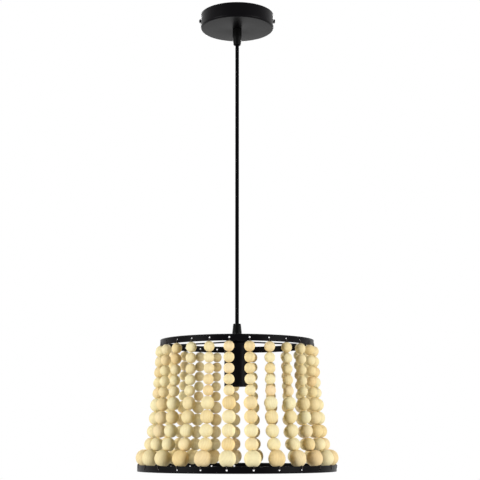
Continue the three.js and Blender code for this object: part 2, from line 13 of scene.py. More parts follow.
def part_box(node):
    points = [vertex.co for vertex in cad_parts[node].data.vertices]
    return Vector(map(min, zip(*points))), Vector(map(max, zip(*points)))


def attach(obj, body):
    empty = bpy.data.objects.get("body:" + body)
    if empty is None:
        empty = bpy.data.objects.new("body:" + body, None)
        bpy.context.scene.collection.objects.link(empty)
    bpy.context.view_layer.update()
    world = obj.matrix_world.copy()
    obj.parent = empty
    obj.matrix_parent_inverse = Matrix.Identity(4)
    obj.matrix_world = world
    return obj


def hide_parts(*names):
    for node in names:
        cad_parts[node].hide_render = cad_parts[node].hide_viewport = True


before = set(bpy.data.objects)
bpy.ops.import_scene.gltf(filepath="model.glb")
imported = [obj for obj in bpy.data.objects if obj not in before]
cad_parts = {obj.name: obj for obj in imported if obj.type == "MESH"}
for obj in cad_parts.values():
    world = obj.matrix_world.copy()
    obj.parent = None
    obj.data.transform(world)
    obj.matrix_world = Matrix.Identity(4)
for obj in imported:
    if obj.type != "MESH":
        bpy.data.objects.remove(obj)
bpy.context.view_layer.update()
print("frame loaded:", len(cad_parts), "nodes")

metre = 1000  # millimetres
fullTurn, halfTurn, quarterTurn = 2 * math.pi, math.pi, math.pi / 2
seatGap = 0.3  # between pieces that rest on each other
overrun = 1  # how far a cut goes past what it cuts
sides = (("left", -1), ("right", 1))
scene = bpy.context.scene


def span(node):  # a node's lowest and highest corners, in mm
    low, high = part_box(node)
    return Vector(low) * metre, Vector(high) * metre


def levels(node):  # a node's lowest and highest level, in mm
    return [corner.z for corner in span(node)]


def added(name, data):
    made = bpy.data.objects.new(name, data)
    scene.collection.objects.link(made)
    return made


canopyFace = levels("canopy_cover")[0]
hoopLow = levels("top_frame")[0]
bottomHoopLow, bottomHoopHigh = levels("bottom_hoop")
cordLow, cordHigh = levels("pendant_cord")
cupRim, cupTop = levels("lamp_cup")

# Camera, level with the strands and looking up

cameraSettings = {"place": (4.7, -1800, -693.9), "pitch": 9.98, "lens": 85.77, "farthest": 100000}

camera = scene.camera = added("camera", bpy.data.cameras.new("camera"))
camera.location = Vector(cameraSettings["place"]) / metre
camera.rotation_euler = (math.radians(90 + cameraSettings["pitch"]), 0, 0)
camera.data.lens = cameraSettings["lens"]
camera.data.clip_end = cameraSettings["farthest"] / metre

# Materials


def linear(hexColour):
    channels = [int(hexColour[i : i + 2], 16) / 255 for i in (1, 3, 5)]
    return (*[c / 12.92 if c < 0.04045 else ((c + 0.055) / 1.055) ** 2.4 for c in channels], 1)


def per(millimetres):  # a texture scale that gives features of this size in metre coordinates
    return metre / millimetres


def setNode(owner, node, settings):  # a socket becomes a link, a hex value a colour
    for key, value in settings.items():
        if isinstance(value, bpy.types.NodeSocket):
            owner.node_tree.links.new(value, node.inputs[key])
        elif isinstance(key, str) and hasattr(node, key):
            setattr(node, key, value)
        else:
            node.inputs[key].default_value = linear(value) if isinstance(value, str) else value


# Adds a node and gives back one of its outputs. A colour Mix takes its share at 0 and its colours at 6 and 7,
# and gives its result at 2.
def addNode(owner, kind, settings, output=0):
    node = owner.node_tree.nodes.new("ShaderNode" + kind)
    setNode(owner, node, settings)
    return node.outputs[output]


def newMaterial(name):
    material = bpy.data.materials.new(name)
    material.use_nodes = True
    return material


def surfaced(material, settings):
    setNode(material, material.node_tree.nodes["Principled BSDF"], settings)
    return material


# A surface with fine patterns over it. Each pattern has its kind, its size in mm along each axis and its
# detail. One pattern mixes the two colours, after a ramp where there is one, and one runs the roughness from
# low to high. Bumps add up patterns by their weights and have a strength and a depth in mm.
def patterned(name, shader, patterns, colours=None, ramp=None, roughness=None, bumps=None):
    material, made, look = newMaterial(name), {}, dict(shader)
    place = addNode(material, "TexCoord", {}, "Object")
    for key, (kind, sizes, detail) in patterns.items():
        scaled = addNode(material, "Mapping", {"Vector": place, "Scale": [per(size) for size in sizes]})
        made[key] = addNode(material, "Tex" + kind, {"Vector": scaled, "Scale": 1, "Detail": detail})
    if colours:
        by, first, second = colours
        share = addNode(material, "MapRange", {**ramp, "Value": made[by]}) if ramp else made[by]
        mix = {"data_type": "RGBA", 0: share, 6: first, 7: second}
        look["Base Color"] = addNode(material, "Mix", mix, 2)
    if roughness:
        by, low, high = roughness
        ends = {"Value": made[by], "To Min": low, "To Max": high}
        look["Roughness"] = addNode(material, "MapRange", ends)
    if bumps:
        weights, strength, depth = bumps
        height = 0
        for key, weight in weights.items():
            adding = {"operation": "MULTIPLY_ADD", 0: made[key], 1: weight, 2: height}
            height = addNode(material, "Math", adding)
        bump = {"Height": height, "Strength": strength, "Distance": depth / metre}
        look["Normal"] = addNode(material, "Bump", bump)
    return surfaced(material, look)


# Mild steel, powder coated: satin black with the coat's faint orange peel, which softens every reflection.
# Seen square on it is nearly black, and a face seen at a slant greys, so its specular level and tint are low.
# The hoops and the spider have the flatter coat. The peel is drawn at 2.5 mm, coarser than the real 1 mm, so
# that it shows.
def powderCoatedSteel(name, level):
    coat = {
        "shader": {"IOR": 1.5, "Specular IOR Level": level, "Specular Tint": "#7a7a7a"},
        "patterns": {"peel": ("Noise", [2.5] * 3, 2), "cloud": ("Noise", [30] * 3, 4)},
        "colours": ("cloud", "#09080a", "#0e0d0f"),
        "roughness": ("cloud", 0.3, 0.4),
        "bumps": ({"peel": 1}, 0.1, 0.03),
    }
    return patterned(name, **coat)


# Steel with bright zinc plate: rolling lines under the plate, and the plate's cloudy grey patches.
def zincPlatedSteel():
    zinc = {
        "shader": {"Metallic": 1},
        "patterns": {"line": ("Noise", (40, 0.6, 0.6), 3), "cloud": ("Noise", [6] * 3, 5)},
        "colours": ("cloud", "#c6cacd", "#a4a9ae"),
        "roughness": ("line", 0.24, 0.44),
        "bumps": ({"line": 1}, 0.2, 0.03),
    }
    return patterned("zincPlatedSteel", **zinc)


# Nylon, injection moulded against a finely eroded mould: black, satin, with a fine even grit.
def mouldedNylon():
    look = {"Base Color": "#080808", "IOR": 1.53, "Specular IOR Level": 0.15, "Specular Tint": "#7a7a7a"}
    nylon = {
        "shader": look,
        "patterns": {"grit": ("Noise", [0.7] * 3, 2)},
        "roughness": ("grit", 0.26, 0.38),
        "bumps": ({"grit": 1}, 0.15, 0.03),
    }
    return patterned("mouldedNylon", **nylon)


# PVC sheath, extruded over twisted cores: black and smooth, with faint lines drawn along it by the die and a
# slow waviness from the cores underneath.
def extrudedSheath():
    look = {"Base Color": "#070708", "IOR": 1.53, "Specular IOR Level": 0.06, "Specular Tint": "#505050"}
    sheath = {
        "shader": look,
        "patterns": {"line": ("Noise", (0.5, 0.5, 60), 2), "lay": ("Noise", [14] * 3, 1)},
        "roughness": ("line", 0.5, 0.62),
        "bumps": ({"line": 1, "lay": 3}, 0.05, 0.04),
    }
    return patterned("extrudedSheath", **sheath)


# Porcelain, slip cast and glazed: warm white under a clear glossy glaze, with a few fine iron specks.
def glazedPorcelain():
    glaze = {
        "shader": {"Roughness": 0.18, "IOR": 1.52, "Coat Weight": 0.6, "Coat Roughness": 0.05},
        "patterns": {"speck": ("Voronoi", [2] * 3, 0), "ripple": ("Noise", [5] * 3, 1)},
        "colours": ("speck", "#e9e5dc", "#b09a80"),
        "ramp": {"From Min": 0.06, "From Max": 0.12, "To Min": 0.6, "To Max": 0},
        "bumps": ({"ripple": 1}, 0.1, 0.06),
    }
    return patterned("glazedPorcelain", **glaze)


# Brass, rolled thin and pressed: warm yellow metal with fine rolling lines and slightly browner tarnish.
def rolledBrass():
    sheet = {
        "shader": {"Metallic": 1},
        "patterns": {"line": ("Noise", [0.5] * 3, 2), "cloud": ("Noise", [5] * 3, 4)},
        "colours": ("cloud", "#d8b25a", "#b58c42"),
        "roughness": ("line", 0.22, 0.4),
    }
    return patterned("rolledBrass", **sheet)


# PVC insulation on a core, extruded: an even signal colour with a soft plastic shine.
def coreInsulation(name, colour, patch=3):
    core = newMaterial(name)
    place = addNode(core, "TexCoord", {}, "Object")
    fade = addNode(core, "TexNoise", {"Vector": place, "Scale": per(patch), "Detail": 3})
    tone = addNode(core, "MapRange", {"Value": fade, "To Min": 0.85, "To Max": 1.1})
    shade = addNode(core, "HueSaturation", {"Color": colour, "Value": tone})
    return surfaced(core, {"Roughness": 0.38, "IOR": 1.53, "Base Color": shade})


# Copper wires, drawn and bunched: bare at the end of each core, bright with a brown bloom.
def bunchedCopper():
    wires = {
        "shader": {"Metallic": 1, "Roughness": 0.35},
        "patterns": {"bloom": ("Noise", [0.6] * 3, 3)},
        "colours": ("bloom", "#d98f67", "#a5623f"),
        "bumps": ({"bloom": 1}, 0.5, 0.08),
    }
    return patterned("bunchedCopper", **wires)


# A pale diffuse-porous hardwood such as schima, turned, tumbled and left bare: cream to honey from bead to
# bead, soft growth bands, short fine pores along the grain and a dull tumbled polish. Pores are drawn at
# 0.9 mm across, coarser than real ones, so that they show. beadPoint holds each vertex in its own bead's
# block of wood, in mm, with the grain along Z. beadTone holds the bead's own lightness, warmth and strength
# of figure.
def turnedWood():
    tones = {"honey": "#efd08e", "pale": "#f8efc1", "rosy": "#fad1a9", "band": "#cd9750"}
    grain = {"growth": 3.4, "pore": (0.9, 0.9, 9), "patch": 7, "depth": 0.1}
    poreRamp = {"From Min": 0.56, "From Max": 0.74, "To Min": 0, "To Max": 0.28}
    waveTurn = 0.314  # length of one band of the wave texture at a scale of 1
    rings = {
        "wave_type": "RINGS", "rings_direction": "Z", "Scale": waveTurn / grain["growth"],
        "Distortion": 2.2, "Detail": 2, "Detail Scale": 1.5,
    }
    wood = newMaterial("turnedWood")
    point = addNode(wood, "Attribute", {"attribute_name": "beadPoint"}, "Vector")
    traits = addNode(wood, "Attribute", {"attribute_name": "beadTone"}, "Vector")
    lightness, warmth, strength = addNode(wood, "SeparateXYZ", {0: traits}).node.outputs
    growth = addNode(wood, "TexWave", {**rings, "Vector": point}, "Fac")
    along = addNode(wood, "Mapping", {"Vector": point, "Scale": [1 / size for size in grain["pore"]]})
    pores = addNode(wood, "TexNoise", {"Vector": along, "Scale": 1, "Detail": 3, "Roughness": 0.6})
    patch = addNode(wood, "TexNoise", {"Vector": point, "Scale": 1 / grain["patch"], "Detail": 2})
    figure = addNode(wood, "Math", {"operation": "MULTIPLY", 0: growth, 1: strength})
    pored = addNode(wood, "MapRange", {**poreRamp, "Value": pores})
    colour = tones["honey"]
    for share, tone in ((lightness, "pale"), (warmth, "rosy"), (figure, "band"), (pored, "band")):
        colour = addNode(wood, "Mix", {"data_type": "RGBA", 0: share, 6: colour, 7: tones[tone]}, 2)
    light = addNode(wood, "MapRange", {"Value": patch, "To Min": 0.94, "To Max": 1.04})
    colour = addNode(wood, "HueSaturation", {"Value": light, "Color": colour})
    gloss = addNode(wood, "MapRange", {"Value": pores, "To Min": 0.46, "To Max": 0.66})
    pits = {"invert": True, "Strength": 0.25, "Distance": grain["depth"] / metre}
    bump = addNode(wood, "Bump", {**pits, "Height": pores})
    shine = {"IOR": 1.45, "Specular IOR Level": 0.2}
    return surfaced(wood, {**shine, "Base Color": colour, "Roughness": gloss, "Normal": bump})


# Waxed polyester thread, braided: nearly black brown with a dull waxy shine and a fine braid.
def waxedThread():
    thread = {
        "shader": {"Roughness": 0.6, "IOR": 1.5, "Base Color": "#2a211b"},
        "patterns": {"braid": ("Voronoi", [0.6] * 3, 0)},
        "bumps": ({"braid": 1}, 0.5, 0.1),
    }
    return patterned("waxedThread", **thread)


# A finish is a colour slot with the materials that a piece in it has
blackSteel = ("black_steel", powderCoatedSteel("powderCoatedSteel", 0.14))
flatBlackSteel = ("black_steel", powderCoatedSteel("flatPowderCoatedSteel", 0.07))
zincSteel = ("zinc_steel", zincPlatedSteel())
blackNylon = ("black_plastic", mouldedNylon())
blackSheath = ("cord_sheath", extrudedSheath())
whitePorcelain = ("porcelain", glazedPorcelain())
brass = ("brass", rolledBrass())
copper = bunchedCopper()
greenCore = coreInsulation("greenInsulation", "#4f8f3a")
yellowCore = coreInsulation("yellowInsulation", "#d9c63c")
coreFinishes = {
    "live": ("brown_core", coreInsulation("brownInsulation", "#5d3722"), copper),
    "neutral": ("blue_core", coreInsulation("blueInsulation", "#2c62a8"), copper),
    "earth": ("green_core", greenCore, copper, yellowCore),
}
beadsOnThread = ("light_wood", turnedWood(), waxedThread())
print("materials made:", len(bpy.data.materials))

# Shapes


def meshOf(vertices, faces, finishes=None):
    mesh = bpy.data.meshes.new("shape")
    mesh.from_pydata([tuple(v) for v in vertices], [], faces)
    mesh.polygons.foreach_set("material_index", finishes or [0] * len(faces))
    return mesh


def merged(meshes):
    form = bmesh.new()
    for mesh in meshes:
        form.from_mesh(mesh)
        bpy.data.meshes.remove(mesh)
    whole = bpy.data.meshes.new("shape")
    form.to_mesh(whole)
    form.free()
    return whole


def placed(mesh, place=(0, 0, 0), turn=0, axis="Z"):  # turned about an axis and then moved
    mesh.transform(Matrix.Translation(place) @ Matrix.Rotation(turn, 4, axis))
    return mesh


def mirrored(half):  # an outline's right half and its mirror image
    return half + [(-x, *rest) for x, *rest in reversed(half)]


def arc(x, y, across, up, start, end, steps):  # an elliptic arc about (x, y) with both its ends
    turns = [start + (end - start) * step / steps for step in range(steps + 1)]
    return [(x + across * math.cos(turn), y + up * math.sin(turn)) for turn in turns]


def circle(radius, count=48):
    return arc(0, 0, radius, radius, 0, fullTurn, count)[:-1]


def rectangle(x, y):  # from its half sizes
    return [(-x, -y), (x, -y), (x, y), (-x, y)]


# Corners as (x, y, radius), each rounded by an arc where it has a radius
def softened(corners, arcs=4):
    points = []
    for i, (x, y, radius) in enumerate(corners):
        here = Vector((x, y))
        if not radius:
            points.append(here)
            continue
        before = (Vector(corners[i - 1][:2]) - here).normalized()
        after = (Vector(corners[(i + 1) % len(corners)][:2]) - here).normalized()
        half = before.angle(after) / 2
        centre = here + (before + after).normalized() * radius / math.sin(half)
        start, end = (here + way * radius / math.tan(half) - centre for way in (before, after))
        turn, sweep = math.atan2(start.y, start.x), math.atan2(start.cross(end), start.dot(end))
        points += arc(*centre, radius, radius, turn, turn + sweep, arcs)
    return points


# Joins what lies together, such as the axis of a turned shape, and drops faces that have no area.
def tidied(mesh, reach=0.0005):
    form = bmesh.new()
    form.from_mesh(mesh)
    bmesh.ops.remove_doubles(form, verts=form.verts, dist=reach)
    bmesh.ops.recalc_face_normals(form, faces=form.faces)
    form.to_mesh(mesh)
    form.free()
    return mesh


# Points and faces of a skin between rows of points. A row may close on itself, and the last may meet the
# first.
def woven(rows, closed=True, looped=False):
    count, faces = len(rows[0]), []
    for i in range(len(rows) if looped else len(rows) - 1):
        here, there = i * count, (i + 1) % len(rows) * count
        for k in range(count if closed else count - 1):
            j = (k + 1) % count
            faces.append((here + k, here + j, there + j, there + k))
    return [point for row in rows for point in row], faces


# Turns a closed (radius, height) profile about Z. The profile may change with the angle, as a thread does.
def turned(profile, count=96):
    rings = []
    for turn in (fullTurn * i / count for i in range(count)):
        ring = profile(turn) if callable(profile) else profile
        rings.append([(r * math.cos(turn), r * math.sin(turn), z) for r, z in ring])
    return tidied(meshOf(*woven(rings, True, True)))


def rod(radius, low, high, count=32):
    return turned([(0, low), (radius, low), (radius, high), (0, high)], count)


def rodPair(radius, low, high, place):  # one rod at each side of the middle
    return [placed(rod(radius, low, high), (side * place, 0, 0)) for name, side in sides]


def evaluated(thing):  # the mesh that a curve or a modifier makes
    return bpy.data.meshes.new_from_object(thing.evaluated_get(bpy.context.evaluated_depsgraph_get()))


# A flat plate between two levels from closed outlines in the XY plane, with its edges softened
def plate(outlines, low, high, edge=0.25, edgeArcs=2):
    curve = bpy.data.curves.new("outline", "CURVE")
    curve.dimensions, curve.fill_mode = "2D", "BOTH"
    curve.extrude, curve.bevel_depth = (high - low) / 2 - edge, edge
    curve.bevel_resolution, curve.offset = edgeArcs, -edge
    for outline in outlines:
        spline = curve.splines.new("POLY")
        spline.points.add(len(outline) - 1)
        spline.points.foreach_set("co", [c for x, y in outline for c in (x, y, 0, 1)])
        spline.use_cyclic_u = True
    holder = added("outline", curve)
    solid = evaluated(holder)
    bpy.data.objects.remove(holder)
    bpy.data.curves.remove(curve)
    return placed(tidied(solid), (0, 0, (low + high) / 2))


def cutPlate(outline, low, high):  # a plate that only cuts, with edges as good as sharp
    return plate([outline], low, high, edge=0.01, edgeArcs=0)


# A strip folded along an outline in XZ, as wide as given in Y
def foldedStrip(corners, width):
    outline = softened(corners, arcs=6)
    return placed(plate([outline], -width / 2, width / 2), turn=quarterTurn, axis="X")


def carved(mesh, tools, operation="DIFFERENCE"):
    body, tool = added("body", mesh), added("tool", merged(tools))
    cutter = body.modifiers.new("carve", "BOOLEAN")
    cutter.operation, cutter.object, cutter.solver = operation, tool, "EXACT"
    result = evaluated(body)
    for each in (body, tool):
        data = each.data
        bpy.data.objects.remove(each)
        bpy.data.meshes.remove(data)
    return result


# A round tube along a path. radiusAt gives its radius at a share of its length, finishAt a finish for a side.
def tube(path, radiusAt, count=12, finishAt=lambda side, share: 0):
    path = [Vector(point) for point in path]
    last = len(path) - 1
    across, rings = (path[1] - path[0]).orthogonal().normalized(), []
    for i, point in enumerate(path):
        along = (path[min(i + 1, last)] - path[max(i - 1, 0)]).normalized()
        across = (across - along * across.dot(along)).normalized()
        aside = along.cross(across)
        rings.append([point + across * x + aside * y for x, y in circle(radiusAt(i / last), count)])
    vertices, faces = woven(rings)
    finishes = [finishAt(k, (i + 0.5) / last) for i in range(last) for k in range(count)]
    faces += [tuple(reversed(range(count))), tuple(range(last * count, len(vertices)))]
    return meshOf(vertices, faces, [*finishes, finishes[0], finishes[-1]])


# Hands a shape over as a piece that rides on a body and stands for a CAD node. It has the node's name in
# camelCase.
def piece(node, mesh, finish, body, sharp=35):
    slot, *materials = finish
    firstWord, *words = node.split("_")
    name = firstWord + "".join(word.title() for word in words)
    mesh.transform(Matrix.Scale(1 / metre, 4))
    mesh.name = name
    chosen = [0] * len(mesh.polygons)  # clearing the slots would reset each face's own
    mesh.polygons.foreach_get("material_index", chosen)
    mesh.materials.clear()
    for material in materials:
        mesh.materials.append(material)
    mesh.polygons.foreach_set("material_index", [min(index, len(materials) - 1) for index in chosen])
    mesh.polygons.foreach_set("use_smooth", [True] * len(mesh.polygons))
    mesh.set_sharp_from_angle(angle=math.radians(sharp))
    made = added(name, mesh)
    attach(made, body)
    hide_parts(node)
    return made


# Cord. It hangs straight between the mouths of its two grips.

cordSettings = {"diameter": 6, "sides": 24, "step": 10, "endRound": 0.6, "pathSteps": 20}


def roundCord(low, high):
    radius, rounding = cordSettings["diameter"] / 2, cordSettings["endRound"]
    steps = max(2, math.ceil((high - low) / cordSettings["step"]))
    cornerShares = ((1, 0), (0.3, 0.3), (0, 1))
    corner = [(radius - rounding * inwards, rounding * along) for inwards, along in cornerShares]
    top = [(r, high - along) for r, along in corner]
    side = [(radius, high + (low - high) * i / steps) for i in range(1, steps)]
    bottom = [(r, low + along) for r, along in reversed(corner)]
    return turned([(0, high), *top, *side, *bottom, (0, low)], cordSettings["sides"])


cord = piece("pendant_cord", roundCord(cordLow, cordHigh), blackSheath, "cord")
for node, body in (("canopy_cord_end", "ceiling"), ("cup_cord_end", "socket")):
    piece(node, roundCord(*levels(node)), blackSheath, body)
print("cord made")

# Screws, with the underside of the head at height 0 and the shank running down

screwSettings = {
    "canopy": {"radius": 2, "head": 3.5, "headHeight": 2.6, "slot": 0.9, "slotDepth": 1, "pitch": 0.7},
    "earth": {"radius": 1.75, "head": 3.5, "headHeight": 2, "slot": 0.8, "slotDepth": 0.8, "pitch": 0.7},
    "stirrup": {"radius": 1.5, "head": 2.5, "headHeight": 1.8, "slot": 0.7, "slotDepth": 0.7, "pitch": 0.5},
    "terminal": {"radius": 1.5, "head": 2.2, "headHeight": 1.4, "slot": 0.6, "slotDepth": 0.6, "pitch": 0.5},
}
headSettings = {"edge": 0.15, "straightShare": 0.35, "arcs": 8}
threadSettings = {"depthShare": 0.28, "taper": 0.1, "rowsPerTurn": 6, "fewestRows": 4, "fadeRows": 5}


# A thread's side at an angle round it, as (radius, height) from its tip up to 0. It runs out at both ends.
def threadSide(angle, radius, length, pitch, depth, taper, rows, fadeRows):
    side = []
    for row in range(rows + 1):
        height = length * row / rows - length
        ridge = 0.5 + 0.5 * math.cos(fullTurn * height / pitch - angle)
        start = min(1, row / fadeRows)
        ease = min(start, (rows - row) / fadeRows)
        side.append((radius - depth * (1 - ridge) * ease - taper * (1 - start), height))
    return side


def slottedScrew(kind, length, slotTurn):
    size, thread, head = screwSettings[kind], threadSettings, headSettings
    pitch, width, top = size["pitch"], size["head"], size["headHeight"]
    straight = head["straightShare"] * top
    depth, taper, fadeRows = thread["depthShare"] * pitch, thread["taper"], thread["fadeRows"]
    rows = max(thread["fewestRows"], round(length / pitch) * thread["rowsPerTurn"])
    dome = arc(0, straight, width, top - straight, 0, quarterTurn, head["arcs"])

    def profileAt(angle):
        side = threadSide(angle, size["radius"], length, pitch, depth, taper, rows, fadeRows)
        return [(0, -length), *side, (width - head["edge"], 0), (width, head["edge"]), *dome]

    slot = rectangle(width + overrun, size["slot"] / 2)
    cut = cutPlate(slot, top - size["slotDepth"], top + overrun)
    return carved(turned(profileAt, count=40), [placed(cut, turn=slotTurn)])


# Canopy

canopySettings = {
    "radius": 60, "wall": 1.2, "corner": 3, "edge": 0.4, "studHole": 5.5,
    "screwHole": 2.5, "screwDrop": 10, "slotTurns": (0.5, 1.1),
}


def sideDrill(side, radius, inside, outside):  # for a side screw's hole through a wall
    drill = rod(radius, inside - overrun, outside + overrun)
    return placed(drill, (0, 0, -canopySettings["screwDrop"]), side * quarterTurn, "Y")


def canopyCover():
    size = canopySettings
    hole, outer, edge = size["studHole"], size["radius"], size["edge"]
    inner, floor = outer - size["wall"], canopyFace + size["wall"]
    profile = [
        (hole, canopyFace, edge / 2),
        (outer, canopyFace, size["corner"]),
        (outer, 0, edge),
        (inner, 0, edge),
        (inner, floor, size["corner"] - size["wall"]),
        (hole, floor, edge / 2),
    ]
    drills = [sideDrill(side, size["screwHole"], inner, outer) for name, side in sides]
    return carved(turned(softened(profile, arcs=8), count=160), drills)


piece("canopy_cover", canopyCover(), blackSteel, "ceiling")
for (name, side), slotTurn in zip(sides, canopySettings["slotTurns"]):
    node = f"canopy_screw_{name}"
    low, high = span(node)
    screw = slottedScrew("canopy", high.x - low.x - screwSettings["canopy"]["headHeight"], slotTurn)
    seat = (side * (canopySettings["radius"] + seatGap), 0, -canopySettings["screwDrop"])
    piece(node, placed(screw, seat, side * quarterTurn, "Y"), blackSteel, f"{name}_screw")

bracketSettings = {
    "width": 20, "thickness": 1.6, "ear": 19, "bend": 2.4, "edge": 0.3, "earHole": 2.5,
    "slotWidth": 5.4, "slotLength": 24, "slotPlace": 34, "slotArcs": 16,
    "earthPlace": 12, "earthHole": 2.25, "earthTurn": 0.3,
}


def slotCut(x, low, high):
    size = bracketSettings
    radius, outline = size["slotWidth"] / 2, []
    for name, side in sides:
        centre, start = x + side * (size["slotLength"] / 2 - radius), -side * quarterTurn
        outline += arc(centre, 0, radius, radius, start, start + halfTurn, size["slotArcs"])
    return cutPlate(outline, low, high)


def ceilingBracket():
    size = bracketSettings
    outer, low, thickness = span("ceiling_bracket")[1].x, -size["ear"], size["thickness"]
    inner = outer - thickness
    half = [
        (outer, 0, size["bend"]),
        (outer, low, size["edge"]),
        (inner, low, size["edge"]),
        (inner, -thickness, size["bend"] - thickness),
    ]
    below = -thickness - overrun
    tools = [placed(rod(size["earthHole"], below, overrun), (size["earthPlace"], 0, 0))]
    for name, side in sides:
        tools.append(slotCut(side * size["slotPlace"], below, overrun))
        tools.append(sideDrill(side, size["earHole"], inner, outer))
    return carved(foldedStrip(mirrored(half), size["width"]), tools)


piece("ceiling_bracket", ceilingBracket(), zincSteel, "ceiling")
earthScrew = slottedScrew("earth", bracketSettings["thickness"], bracketSettings["earthTurn"])
earthSeat = Vector((bracketSettings["earthPlace"], 0, -bracketSettings["thickness"] - seatGap))
piece("earth_screw", placed(earthScrew, earthSeat, halfTurn, "X"), zincSteel, "ceiling")
print("canopy made")

# Cord grips, modelled with the base at height 0, the stud below and the tip above

gripSettings = {
    "length": 27, "bore": 3.5, "baseRadius": 7.5, "tipRadius": 6, "straight": 13, "flare": 2.4,
    "baseEdge": 0.35, "shoulder": 5, "tipRound": 1.2, "mouthRadius": 4.6, "mouthRound": 0.5,
    "flareRound": 1, "studRadius": 5, "pitch": 1, "threadDepth": 0.5, "rowsPerMm": 8,
}
gripScrewSettings = {
    "radius": 1.6, "height": 8, "proud": 1, "hole": 2.1, "tailRound": 0.4, "endRound": 0.25,
    "slot": 0.7, "slotDepth": 0.9, "drillEnd": 2.9,
}


def cordGrip(stud):
    size, screw = gripSettings, gripScrewSettings
    bore, base, tip, pitch = size["bore"], size["baseRadius"], size["length"], size["pitch"]
    depth, rows, fadeRows = size["threadDepth"], round(stud * size["rowsPerMm"]), size["rowsPerMm"]
    outside = softened(
        [
            (bore, -stud, 0),
            (size["studRadius"], 0, 0),
            (base, 0, size["baseEdge"]),
            (base, size["straight"], size["shoulder"]),
            (size["tipRadius"], tip, size["tipRound"]),
            (size["mouthRadius"], tip, size["mouthRound"]),
            (bore, tip - size["flare"], size["flareRound"]),
        ],
        arcs=6,
    )

    def profileAt(angle):
        thread = threadSide(angle, size["studRadius"], stud, pitch, depth, depth, rows, fadeRows)
        return [outside[0], *thread, *outside[2:]]

    hole = rod(screw["hole"], screw["drillEnd"], base + overrun)
    hole = placed(hole, (0, 0, screw["height"]), quarterTurn, "X")
    return carved(turned(profileAt, count=72), [hole])


def gripScrew():
    size = gripScrewSettings
    tail, end = cordSettings["diameter"] / 2 + seatGap, gripSettings["baseRadius"] + size["proud"]
    profile = [
        (0, tail, 0),
        (size["radius"], tail, size["tailRound"]),
        (size["radius"], end, size["endRound"]),
        (0, end, 0),
    ]
    slot = rectangle(size["radius"] + overrun, size["slot"] / 2)
    cut = cutPlate(slot, end - size["slotDepth"], end + overrun)
    screw = carved(turned(softened(profile), count=32), [cut])
    return placed(screw, (0, 0, size["height"]), quarterTurn, "X")


upperBase = canopyFace - seatGap
lowerBase = levels("cup_grip")[1] - gripSettings["length"]
stud = levels("canopy_grip")[1] - upperBase
for node, body, base, axis in (
    ("canopy_grip", "ceiling", upperBase, "X"),
    ("cup_grip", "socket", lowerBase, "Z"),
):
    piece(node, placed(cordGrip(stud), (0, 0, base), halfTurn, axis), blackNylon, body, sharp=50)
    piece(node + "_screw", placed(gripScrew(), (0, 0, base), halfTurn, axis), blackNylon, body)

nutSettings = {
    "acrossFlats": 15, "height": 3, "bore": 5.5, "edge": 0.05, "boreEdge": 0.35,
    "chamfer": 0.6, "overhang": 0.2,
}


def hexNut():
    size = nutSettings
    corner, half, chamfer = size["acrossFlats"] / math.sqrt(3), size["height"] / 2, size["chamfer"]
    lower = [
        (size["bore"], -half, size["boreEdge"]),
        (corner - chamfer, -half, 0),
        (corner + size["overhang"], chamfer - half, 0),
    ]
    disc = softened(lower + [(x, -z, edge) for x, z, edge in reversed(lower)], arcs=2)
    hexagon = plate([circle(corner, count=6)], -half, half, size["edge"], edgeArcs=0)
    return carved(hexagon, [turned(disc, count=72)], "INTERSECT")


for node, body in (("canopy_grip_nut", "ceiling"), ("cup_grip_nut", "socket")):
    piece(node, placed(hexNut(), (0, 0, sum(levels(node)) / 2)), zincSteel, body, sharp=25)
print("grips made")

# Lampholder cup and what hangs in it

cupSettings = {
    "radius": 20, "wall": 1, "flat": 13, "shoulder": 7, "arcs": 12, "studHole": 5.5,
    "hem": 0.45, "hemInside": 0.4,
}


def lampCup():
    size = cupSettings
    outer, wall, flat, drop = size["radius"], size["wall"], size["flat"], size["shoulder"]

    def shoulder(width, height):
        curve = arc(flat, cupTop - drop, width, height, 0, quarterTurn, size["arcs"])
        return [(*point, 0) for point in curve]

    corners = [
        (outer - wall, cupRim, size["hemInside"]),
        (outer, cupRim, size["hem"]),
        *shoulder(outer - flat, drop),
        (size["studHole"], cupTop, 0),
        (size["studHole"], cupTop - wall, 0),
        *reversed(shoulder(outer - wall - flat, drop - wall)),
    ]
    return turned(softened(corners), count=120)


stirrupSettings = {
    "width": 12, "span": 22, "thickness": 1.5, "foot": 6, "height": 22, "bend": 2.5,
    "edge": 0.3, "footHole": 2, "slotTurn": 0.6,
}


def stirrup():
    size = stirrupSettings
    outside, thickness, bend, sole = size["span"] / 2, size["thickness"], size["bend"], -size["height"]
    inside, toe = outside - thickness, outside + size["foot"]
    half = [
        (inside, -thickness, bend - thickness),
        (inside, sole, bend),
        (toe, sole, size["edge"]),
        (toe, sole + thickness, size["edge"]),
        (outside, sole + thickness, bend - thickness),
        (outside, 0, bend),
    ]
    tools = rodPair(size["footHole"], sole - overrun, sole + thickness + overrun, outside + size["foot"] / 2)
    tools.append(rod(cupSettings["studHole"], -thickness - overrun, overrun, count=48))
    return placed(carved(foldedStrip(mirrored(half), size["width"]), tools), (0, 0, levels("stirrup")[1]))


holderSettings = {
    "radius": 17.5, "wall": 3, "floor": 8, "insideRound": 1, "rimRound": 0.9, "topRound": 1.2,
    "screwPlace": 14, "screwDepth": 6, "screwHole": 2,
}


def lampholder():
    size = holderSettings
    low, high = levels("lampholder")
    outer, bore, floor = size["radius"], size["radius"] - size["wall"], high - size["floor"]
    profile = [
        (0, floor, 0),
        (bore, floor, size["insideRound"]),
        (bore, low, size["rimRound"]),
        (outer, low, size["rimRound"]),
        (outer, high, size["topRound"]),
        (0, high, 0),
    ]
    holes = rodPair(size["screwHole"], high - size["screwDepth"], high + overrun, size["screwPlace"])
    return carved(turned(softened(profile, arcs=5)), holes)


